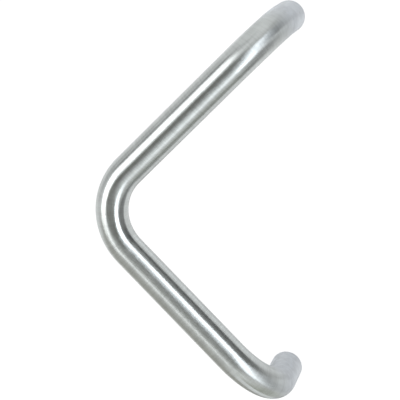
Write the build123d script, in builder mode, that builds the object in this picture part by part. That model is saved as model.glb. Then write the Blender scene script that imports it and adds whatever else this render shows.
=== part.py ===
from build123d import *
import os
from math import radians, tan

# Door pull handle: one solid round stainless steel bar, bent to a right-angled vee between two posts.
# The origin lies on the door face, midway between the two fixing holes. +Z is up, the handle stands out from
# the door towards -Y, and the point of the vee is towards -X.

# Bar and bends, with lengths to the bar's axis
bar_diameter = 20.0
fixing_centres = 225.0
axis_from_door = 60.0
vee_angle = 90.0
bend_radius = 35.0
end_chamfer = 0.6

# Tapped hole in each end face: the bore is the tapping size of an M8 thread
tapping_diameter = 6.8
tapped_depth = 20.0
tap_run_out = 4.0
mouth_diameter = 8.6
mouth_angle = 90.0
drill_point_angle = 118.0

drilled_depth = tapped_depth + tap_run_out
drill_point_length = tapping_diameter / 2 / tan(radians(drill_point_angle / 2))

# The axis turns at three corners: off each post into an arm, and at the point of the vee.
post_height = fixing_centres / 2
vee_reach = post_height / tan(radians(vee_angle / 2))
axis_corners = [
    (0, 0, post_height),
    (0, -axis_from_door, post_height),
    (-vee_reach, -axis_from_door, 0),
    (0, -axis_from_door, -post_height),
    (0, 0, -post_height),
]
upper_end = Plane(origin=axis_corners[0], x_dir=(1, 0, 0), z_dir=(0, -1, 0))

with BuildPart() as pull_bar:
    # The bar is bent cold on one former, so its three bends share a radius and run smoothly into the straights.
    with BuildLine() as bar_axis:
        FilletPolyline(*axis_corners, radius=bend_radius)
    with BuildSketch(upper_end) as bar_section:
        Circle(bar_diameter / 2)
    sweep()

    # The two sawn ends are faced square to the door and their rims broken.
    end_faces = pull_bar.faces().filter_by(Plane.XZ)
    chamfer(end_faces.edges(), length=end_chamfer)

    # Each end is drilled on the bar's axis, countersunk at the mouth, and left with the drill's point.
    with Locations(*end_faces):
        CounterSinkHole(
            radius=tapping_diameter / 2,
            counter_sink_radius=mouth_diameter / 2,
            depth=drilled_depth,
            counter_sink_angle=mouth_angle,
        )
        with Locations((0, 0, -drilled_depth)):
            Cone(
                bottom_radius=0,
                top_radius=tapping_diameter / 2,
                height=drill_point_length,
                align=(Align.CENTER, Align.CENTER, Align.MAX),
                mode=Mode.SUBTRACT,
            )

pull_bar.part.label = "pull_bar"

os.makedirs("parts", exist_ok=True)
export_step(pull_bar.part, "parts/pull_bar.step")
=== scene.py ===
from math import cos, pi, radians, sin, tan

import bpy
from mathutils import Matrix, Vector


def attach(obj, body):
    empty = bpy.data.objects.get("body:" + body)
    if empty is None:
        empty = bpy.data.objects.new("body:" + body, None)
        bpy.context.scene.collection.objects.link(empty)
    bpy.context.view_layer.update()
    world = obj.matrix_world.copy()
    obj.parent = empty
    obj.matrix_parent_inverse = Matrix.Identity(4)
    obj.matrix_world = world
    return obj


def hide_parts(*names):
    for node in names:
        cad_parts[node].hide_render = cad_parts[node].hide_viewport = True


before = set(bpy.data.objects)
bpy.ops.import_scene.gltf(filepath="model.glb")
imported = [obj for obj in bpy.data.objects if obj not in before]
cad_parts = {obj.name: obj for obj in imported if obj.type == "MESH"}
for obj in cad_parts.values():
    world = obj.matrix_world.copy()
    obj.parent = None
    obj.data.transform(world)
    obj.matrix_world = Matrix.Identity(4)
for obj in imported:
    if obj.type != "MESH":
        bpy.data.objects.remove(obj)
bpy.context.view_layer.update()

# Camera
# It stands a little right of the handle and above it, almost a metre away, and looks down and to the left,
# so that the lower post shows past its bend and the upper post hides behind its own.
camera_place = Vector((0.14878, -0.95373, 0.21573))
camera_heading = 12.14
camera_tilt = -12.04
camera_roll = -0.32
camera_lens = 141.43
camera_rise = -0.05

camera_data = bpy.data.cameras.new("camera")
camera_data.sensor_width = 36.0
camera_data.lens = camera_lens
camera_data.shift_y = camera_rise
camera = bpy.data.objects.new("camera", camera_data)
camera.matrix_world = (
    Matrix.Translation(camera_place)
    @ Matrix.Rotation(radians(camera_heading), 4, "Z")
    @ Matrix.Rotation(radians(90 + camera_tilt), 4, "X")
    @ Matrix.Rotation(radians(camera_roll), 4, "Z")
)
bpy.context.scene.collection.objects.link(camera)
bpy.context.scene.camera = camera

# Pull bar
# The handle is one piece of solid 20 mm stainless round, bent cold on one former: back to the door at each
# end, and to a right-angled vee between them. Its ends are faced square and their rims broken, and a bolt
# that comes through the door screws into each of them.
bar_radius = 0.010
post_height = 0.1125
axis_from_door = 0.060
vee_reach = 0.1125
bend_radius = 0.035
end_chamfer = 0.0006
sharp_edge = radians(30)
segments_round = 96
arc_step = radians(1.5)
straight_step = 0.0025


def bar_axis(corners):
    """Points along the bar's axis from end to end, each with the way the bar runs there."""
    stops = []
    start = corners[0]
    for before, corner, after in zip(corners, corners[1:], corners[2:]):
        towards = (corner - before).normalized()
        onwards = (after - corner).normalized()
        turn = towards.angle(onwards)
        set_back = bend_radius * tan(turn / 2)
        arc_start = corner - towards * set_back
        steps = round((arc_start - start).length / straight_step)
        stops += [(start.lerp(arc_start, step / steps), towards) for step in range(steps)]
        inward = (onwards - towards * towards.dot(onwards)).normalized()
        centre = arc_start + inward * bend_radius
        steps = round(turn / arc_step)
        for step in range(steps):
            angle = turn * step / steps
            place = centre + bend_radius * (towards * sin(angle) - inward * cos(angle))
            stops.append((place, towards * cos(angle) + inward * sin(angle)))
        start = corner + onwards * set_back
    steps = round((corners[-1] - start).length / straight_step)
    stops += [(start.lerp(corners[-1], step / steps), onwards) for step in range(steps + 1)]
    return stops


axis_stops = bar_axis([
    Vector((0, 0, post_height)),
    Vector((0, -axis_from_door, post_height)),
    Vector((-vee_reach, -axis_from_door, 0)),
    Vector((0, -axis_from_door, -post_height)),
    Vector((0, 0, -post_height)),
])

# Each end is drilled on the bar's axis to the tapping size of an M8 thread, countersunk at the mouth and
# tapped, so that the bolt draws the end face tight against the door. The thread stops short of the hole's
# bottom.
bore_radius = 0.0034
thread_root_radius = 0.0040
thread_pitch = 0.00125
thread_half_angle = radians(30)
root_flat = thread_pitch / 8
tapped_depth = 0.020
thread_fade = 0.0012
drilled_depth = 0.024
drill_point_half_angle = radians(59)
drill_tip_depth = drilled_depth + bore_radius / tan(drill_point_half_angle)
mouth_radius = 0.0043
steps_per_pitch = 12


def thread_radius(depth, angle):
    """How far the tapped wall stands from the hole's axis, at a depth and at an angle round it."""
    flank_run = (thread_root_radius - bore_radius) * tan(thread_half_angle)
    phase = (depth / thread_pitch + angle / (2 * pi)) % 1
    from_root = max(0.0, abs(phase - 0.5) * thread_pitch - root_flat / 2)
    cut = max(0.0, 1 - from_root / flank_run)
    fade = min(1.0, max(0.0, (tapped_depth - depth) / thread_fade))
    thread = bore_radius + (thread_root_radius - bore_radius) * cut * fade
    countersink = mouth_radius - depth
    return max(thread, countersink)


def end_rings(end, inwards):
    """Rings up the hole and across the end face, each with its place on the axis and its radii."""
    rings = []
    tapped_steps = round(tapped_depth / thread_pitch * steps_per_pitch)
    angles = [2 * pi * i / segments_round for i in range(segments_round)]
    plain = [bore_radius] * segments_round
    rings.append((end + inwards * drilled_depth, plain))
    for step in range(tapped_steps, -1, -1):
        depth = tapped_depth * step / tapped_steps
        rings.append((end + inwards * depth, [thread_radius(depth, a) for a in angles]))
    rings.append((end, [(mouth_radius + bar_radius) / 2] * segments_round))
    rings.append((end, [bar_radius - end_chamfer] * segments_round))
    return rings


def swept_bar(name):
    """One closed skin: out of the first hole, over its face, along the bar and into the other hole."""
    first, last = axis_stops[0], axis_stops[-1]
    opening = [(p, first[1], r) for p, r in end_rings(first[0], first[1])]
    closing = [(p, last[1], r) for p, r in reversed(end_rings(last[0], -last[1]))]
    shell = [bar_radius] * segments_round
    skin = [(first[0] + first[1] * end_chamfer, first[1], shell)]
    skin += [(p, d, shell) for p, d in axis_stops[1:-1]]
    skin += [(last[0] - last[1] * end_chamfer, last[1], shell)]
    rings = opening + skin + closing

    points, brush_run = [], []
    side = Vector((1, 0, 0))
    heading = rings[0][1]
    travelled = 0.0
    run_at = []
    for index, (place, direction, radii) in enumerate(rings):
        side.rotate(heading.rotation_difference(direction))
        heading = direction
        across = direction.cross(side)
        ring = []
        for i, radius in enumerate(radii):
            angle = 2 * pi * i / segments_round
            ring.append(place + (side * cos(angle) + across * sin(angle)) * radius)
        if index:
            travelled += (ring[0] - points[-segments_round]).length
        run_at.append(travelled)
        for i, radius in enumerate(radii):
            angle = 2 * pi * i / segments_round
            brush_run.append((travelled, cos(angle) * radius, sin(angle) * radius))
        points += ring

    faces, corners_uv = [], []
    for r in range(len(rings) - 1):
        for i in range(segments_round):
            j = (i + 1) % segments_round
            a, b = r * segments_round, (r + 1) * segments_round
            faces.append((a + i, b + i, b + j, a + j))
            low, high = i / segments_round, (i + 1) / segments_round
            corners_uv += [(run_at[r], low), (run_at[r + 1], low), (run_at[r + 1], high), (run_at[r], high)]
    tip_depth = drill_tip_depth - drilled_depth
    for ring, tip, run in (
        (0, first[0] + first[1] * drill_tip_depth, run_at[0] - tip_depth),
        (len(rings) - 1, last[0] - last[1] * drill_tip_depth, run_at[-1] + tip_depth),
    ):
        points.append(tip)
        brush_run.append((run, 0, 0))
        for i in range(segments_round):
            a, b = ring * segments_round + i, ring * segments_round + (i + 1) % segments_round
            low, high = i / segments_round, (i + 1) / segments_round
            if ring == 0:
                faces.append((len(points) - 1, a, b))
                corners_uv += [(run, (low + high) / 2), (run_at[ring], low), (run_at[ring], high)]
            else:
                faces.append((len(points) - 1, b, a))
                corners_uv += [(run, (low + high) / 2), (run_at[ring], high), (run_at[ring], low)]

    mesh = bpy.data.meshes.new(name)
    mesh.from_pydata([tuple(p) for p in points], [], faces)
    uv = mesh.uv_layers.new(name="brush")
    uv.data.foreach_set("uv", [value for pair in corners_uv for value in pair])
    brushed = mesh.attributes.new("brush_run", "FLOAT_VECTOR", "POINT")
    brushed.data.foreach_set("vector", [value for triple in brush_run for value in triple])
    mesh.shade_smooth()
    mesh.set_sharp_from_angle(angle=sharp_edge)
    mesh.validate()
    piece = bpy.data.objects.new(name, mesh)
    bpy.context.scene.collection.objects.link(piece)
    return piece


# The bar is linished with a fine belt that turns round it, so the scratches run round the bar and never along
# it. Reflections stay sharp across the bar and spread along its length. The end bends and the posts are
# finished by hand with a flap wheel, so they are a little rougher and more smudged. Their steel is also
# painted lighter and cooler than the belt steel: a painted reflection of the brighter, bluer light that the
# posts and end bends catch.
steel_dark = (0.456, 0.480, 0.474, 1)
steel_light = (0.538, 0.566, 0.559, 1)
# The hand-finished steel's two shades are lighter and bluer than the belt steel's: painted reflection on top
# of the real mottling.
hand_steel_dark_plus_painted_reflection = (0.470, 0.495, 0.518, 1)
hand_steel_light_plus_painted_reflection = (0.567, 0.596, 0.624, 1)
tone_range = (0.38, 0.62)
belt_tone_streaks = 0.6
hand_tone_streaks = 0.4
belt_roughness = (0.2755, 0.2805)
streak_range = (0.3, 0.7)
hand_roughness_added = 0.024
cloud_range = (0.35, 0.65)
# Where the hand-finished zone begins and where it is full: this zone is rougher and also carries the painted
# reflection.
hand_finish_and_reflection_from = -0.053
hand_finish_and_reflection_full = -0.036
scratch_pitch = 0.00012
scratch_reach = 0.014
scratch_detail = 2.0
streak_pitch = 0.0008
streak_reach = 0.022
streak_detail = 3.0
cloud_size = 0.011
cloud_detail = 3.0
smudge_size = 0.0035
smudge_detail = 4.0
scratch_depth = 0.000015
depth_from_scratches = 0.35


def satin_stainless():
    """Bare steel whose reflections are drawn out along the bar, with the marks of the belt and the wheel."""
    material = bpy.data.materials.new("satin_stainless")
    material.use_nodes = True
    nodes, links = material.node_tree.nodes, material.node_tree.links
    shader = nodes["Principled BSDF"]
    shader.inputs["Metallic"].default_value = 1.0
    shader.inputs["Anisotropic"].default_value = 1.0
    along = nodes.new("ShaderNodeTangent")
    along.direction_type = "UV_MAP"
    along.uv_map = "brush"
    links.new(along.outputs["Tangent"], shader.inputs["Tangent"])

    run = nodes.new("ShaderNodeAttribute")
    run.attribute_name = "brush_run"

    def marks(pitch, reach, detail):
        """Marks about a pitch apart along the bar, each reaching so far round it."""
        stretch = nodes.new("ShaderNodeVectorMath")
        stretch.operation = "MULTIPLY"
        stretch.inputs[1].default_value = (1 / pitch, 1 / reach, 1 / reach)
        links.new(run.outputs["Vector"], stretch.inputs[0])
        noise = nodes.new("ShaderNodeTexNoise")
        noise.inputs["Scale"].default_value = 1.0
        noise.inputs["Detail"].default_value = detail
        links.new(stretch.outputs["Vector"], noise.inputs["Vector"])
        return noise.outputs["Fac"]

    def ranged(value, value_range, low, high):
        """The value's own range drawn out to run from low to high."""
        span = nodes.new("ShaderNodeMapRange")
        span.inputs["From Min"].default_value = value_range[0]
        span.inputs["From Max"].default_value = value_range[1]
        span.inputs["To Min"].default_value = low
        span.inputs["To Max"].default_value = high
        links.new(value, span.inputs["Value"])
        return span.outputs["Result"]

    def combined(operation, first, second):
        """The sum or the product of two values, the second of which may be a plain number."""
        both = nodes.new("ShaderNodeMath")
        both.operation = operation
        links.new(first, both.inputs[0])
        if isinstance(second, float):
            both.inputs[1].default_value = second
        else:
            links.new(second, both.inputs[1])
        return both.outputs["Value"]

    def shared(share, first, second):
        """A share of the first value and the rest of the second."""
        part = combined("MULTIPLY", first, share)
        rest = combined("MULTIPLY", second, 1 - share)
        return combined("ADD", part, rest)

    def mixed(amount, first, second):
        """The first colour where the amount is 0, running over into the second where it is 1."""
        blend = nodes.new("ShaderNodeMix")
        blend.data_type = "RGBA"
        for name, value in (("A", first), ("B", second)):
            if isinstance(value, tuple):
                blend.inputs[name].default_value = value
            else:
                links.new(value, blend.inputs[name])
        links.new(amount, blend.inputs["Factor"])
        return blend.outputs["Result"]

    scratches = marks(scratch_pitch, scratch_reach, scratch_detail)
    streaks = marks(streak_pitch, streak_reach, streak_detail)
    clouds = marks(cloud_size, cloud_size, cloud_detail)
    smudges = marks(smudge_size, smudge_size, smudge_detail)

    place = nodes.new("ShaderNodeTexCoord")
    split = nodes.new("ShaderNodeSeparateXYZ")
    links.new(place.outputs["Object"], split.inputs["Vector"])
    # Mask towards the door, over the posts and end bends: the rougher hand finish, and the painted reflection
    # in its lighter, cooler steel.
    hand_finish_and_painted_reflection = ranged(split.outputs["Y"], (hand_finish_and_reflection_from, hand_finish_and_reflection_full), 0.0, 1.0)

    belt_tone = ranged(shared(belt_tone_streaks, streaks, clouds), tone_range, 0.0, 1.0)
    hand_tone = ranged(shared(hand_tone_streaks, streaks, smudges), tone_range, 0.0, 1.0)
    belt_steel = mixed(belt_tone, steel_dark, steel_light)
    # Hand-finished steel with real smudged mottling, painted lighter and cooler as a painted reflection.
    hand_steel_plus_painted_reflection = mixed(hand_tone, hand_steel_dark_plus_painted_reflection, hand_steel_light_plus_painted_reflection)
    links.new(mixed(hand_finish_and_painted_reflection, belt_steel, hand_steel_plus_painted_reflection), shader.inputs["Base Color"])

    evenly = ranged(streaks, streak_range, *belt_roughness)
    unevenly = ranged(clouds, cloud_range, 0.0, hand_roughness_added)
    roughness = combined("ADD", evenly, combined("MULTIPLY", hand_finish_and_painted_reflection, unevenly))
    links.new(roughness, shader.inputs["Roughness"])

    bump = nodes.new("ShaderNodeBump")
    bump.inputs["Strength"].default_value = 1.0
    bump.inputs["Distance"].default_value = scratch_depth
    links.new(shared(depth_from_scratches, scratches, streaks), bump.inputs["Height"])
    links.new(bump.outputs["Normal"], shader.inputs["Normal"])
    return material


bar = swept_bar("pull_bar_satin")
bar.data.materials.append(satin_stainless())
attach(bar, "root")
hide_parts("pull_bar")

# Studio
# A pale floor lies well below the handle and everything round it is white. Two tall softboxes stand in front
# of it, to its right and left. White cards over, under and behind it lift the light, and darker cards between
# and beyond them draw the dark lines in the satin.
white = (1, 1, 1, 1)
neutral = (1.0, 1.0, 1.0)
warm = (1.02, 1.0, 0.92)
olive = (0.99, 1.02, 0.85)
cool = (0.97, 1.0, 1.05)
fill_on_things = 0.35
fill_in_reflections = 1.0
handle_middle = Vector((-0.045, -0.045, 0))
back_gap = 0.01


def lit_by_view(tree):
    """1 for what the camera or the metal sees, and 0 for light that falls on things."""
    path = tree.nodes.new("ShaderNodeLightPath")
    seen = path.outputs["Is Camera Ray"]
    for name in ("Is Glossy Ray", "Is Transmission Ray"):
        either = tree.nodes.new("ShaderNodeMath")
        either.operation = "MAXIMUM"
        tree.links.new(seen, either.inputs[0])
        tree.links.new(path.outputs[name], either.inputs[1])
        seen = either.outputs[0]
    return seen


world = bpy.data.worlds.new("studio")
world.use_nodes = True
bpy.context.scene.world = world
background = world.node_tree.nodes["Background"]
background.inputs["Color"].default_value = white
strength = world.node_tree.nodes.new("ShaderNodeMapRange")
strength.inputs["To Min"].default_value = fill_on_things
strength.inputs["To Max"].default_value = fill_in_reflections
world.node_tree.links.new(lit_by_view(world.node_tree), strength.inputs["Value"])
world.node_tree.links.new(strength.outputs["Result"], background.inputs["Strength"])


def facing_handle(bearing, elevation, distance, roll):
    """A place at a bearing from +Y towards +X and at an elevation, turned to face the handle."""
    a, e = radians(bearing), radians(elevation)
    outwards = Vector((sin(a) * cos(e), cos(a) * cos(e), sin(e)))
    place = Matrix.Translation(handle_middle + outwards * distance)
    turn = outwards.to_track_quat("Z", "Y").to_matrix().to_4x4()
    return place @ turn @ Matrix.Rotation(radians(roll), 4, "Z")


def card(name, bearing, elevation, distance, width, height, roll, tint, shade):
    """A flat sheet of an even shade, which only the metal sees."""
    x, y = width / 2, height / 2
    mesh = bpy.data.meshes.new(name)
    mesh.from_pydata([(-x, -y, 0), (x, -y, 0), (x, y, 0), (-x, y, 0)], [], [(0, 1, 2, 3)])
    sheet = bpy.data.objects.new(name, mesh)
    sheet.matrix_world = facing_handle(bearing, elevation, distance, roll)
    bpy.context.scene.collection.objects.link(sheet)
    material = bpy.data.materials.new(name)
    material.use_nodes = True
    nodes, links = material.node_tree.nodes, material.node_tree.links
    nodes.remove(nodes["Principled BSDF"])
    glow = nodes.new("ShaderNodeEmission")
    glow.inputs["Color"].default_value = (*tint, 1)
    glow.inputs["Strength"].default_value = shade
    links.new(glow.outputs["Emission"], nodes["Material Output"].inputs["Surface"])
    mesh.materials.append(material)
    sheet.visible_camera = False
    sheet.visible_diffuse = False
    sheet.visible_shadow = False


def softbox(name, bearing, elevation, distance, width, height, roll, tint, brightness):
    """A lamp with an even face and a black back, placed as a card is."""
    lamp = bpy.data.lights.new(name, "AREA")
    lamp.shape = "RECTANGLE"
    lamp.size, lamp.size_y = width, height
    lamp.energy = brightness * pi * width * height
    lamp.color = tint
    box = bpy.data.objects.new(name, lamp)
    box.matrix_world = facing_handle(bearing, elevation, distance, roll)
    box.visible_camera = False
    bpy.context.scene.collection.objects.link(box)
    card(name + "_back", bearing, elevation, distance + back_gap, width, height, roll, neutral, 0.0)


softbox("softbox_left", 227, 9, 1.1, 0.67, 0.99, -13, neutral, 3.55)
softbox("softbox_right", 138, 5, 1.1, 0.44, 1.50, 1, cool, 4.20)
card("white_card_over", 138, 86, 1.1, 0.91, 2.40, -10, neutral, 1.06)
card("white_card_under", 141, -52, 1.0, 0.94, 0.45, 25, neutral, 1.15)
card("card_under", 138, -68, 1.1, 1.53, 0.65, -34, olive, 0.46)
card("white_card_behind", 7, 35, 1.5, 2.48, 0.10, -8, cool, 2.08)
card("card_left_low", 257, -43, 1.4, 3.20, 1.00, 36, warm, 0.53)
card("card_right_low", 96, -23, 1.5, 1.21, 1.82, 7, neutral, 0.37)
card("card_left_beside", 273, 21, 1.6, 0.85, 0.35, -40, neutral, 0.19)
card("card_left_high", 219, 47, 1.7, 2.68, 0.42, 23, neutral, 0.01)
card("card_over", 158, 71, 1.7, 1.59, 2.40, -47, neutral, 0.21)
card("card_right_high", 100, 31, 1.8, 1.55, 1.21, 0, neutral, 0.01)
card("card_front", 170, -1, 1.9, 3.20, 1.75, 12, olive, 0.10)
card("card_behind_low", 351, -25, 2.0, 0.95, 2.10, -8, neutral, 0.30)
card("card_behind_high", 12, 18, 2.0, 0.30, 1.21, -28, cool, 0.60)

floor_level = -2.4
floor_half = 30.0
floor_colour = (0.8, 0.8, 0.8, 1)
floor_glow = 0.80

floor_mesh = bpy.data.meshes.new("floor")
floor_corners = [
    (-floor_half, -floor_half, floor_level),
    (floor_half, -floor_half, floor_level),
    (floor_half, floor_half, floor_level),
    (-floor_half, floor_half, floor_level),
]
floor_mesh.from_pydata(floor_corners, [], [(0, 1, 2, 3)])
floor = bpy.data.objects.new("floor", floor_mesh)
bpy.context.scene.collection.objects.link(floor)
floor_paint = bpy.data.materials.new("floor_paint")
floor_paint.use_nodes = True
paint = floor_paint.node_tree.nodes["Principled BSDF"]
paint.inputs["Base Color"].default_value = floor_colour
paint.inputs["Roughness"].default_value = 1
paint.inputs["Specular IOR Level"].default_value = 0
paint.inputs["Emission Color"].default_value = white
glow = floor_paint.node_tree.nodes.new("ShaderNodeMath")
glow.operation = "MULTIPLY"
glow.inputs[1].default_value = floor_glow
floor_paint.node_tree.links.new(lit_by_view(floor_paint.node_tree), glow.inputs[0])
floor_paint.node_tree.links.new(glow.outputs[0], paint.inputs["Emission Strength"])
floor_mesh.materials.append(floor_paint)

bpy.context.scene.view_settings.view_transform = "Standard"
